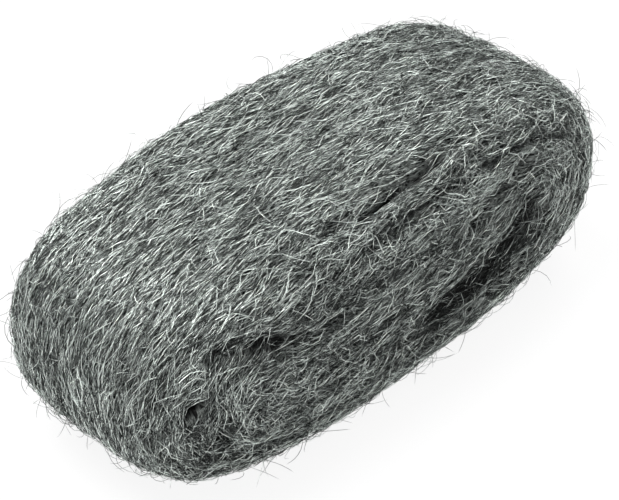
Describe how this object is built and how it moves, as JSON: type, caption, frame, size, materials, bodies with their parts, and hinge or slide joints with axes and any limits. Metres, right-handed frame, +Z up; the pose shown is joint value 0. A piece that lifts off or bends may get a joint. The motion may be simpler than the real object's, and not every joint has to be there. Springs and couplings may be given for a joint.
{
  "type": "steel wool pad",
  "caption": "Hand pad of steel wool: a soft band of fine steel fibre wound flat into an oval roll, for scouring, polishing and rubbing down by hand.",
  "frame": {"origin": "Bottom centre of the pad's box, on the surface it lies on", "axes": "+X along the pad's length, Y across the band from side to side, +Z up"},
  "size_m": [0.1202, 0.049, 0.0471],
  "materials": {
    "steel_wool": "satin"
  },
  "bodies": {
    "root": {"wool_band": "steel_wool"}
  },
  "joints": []
}
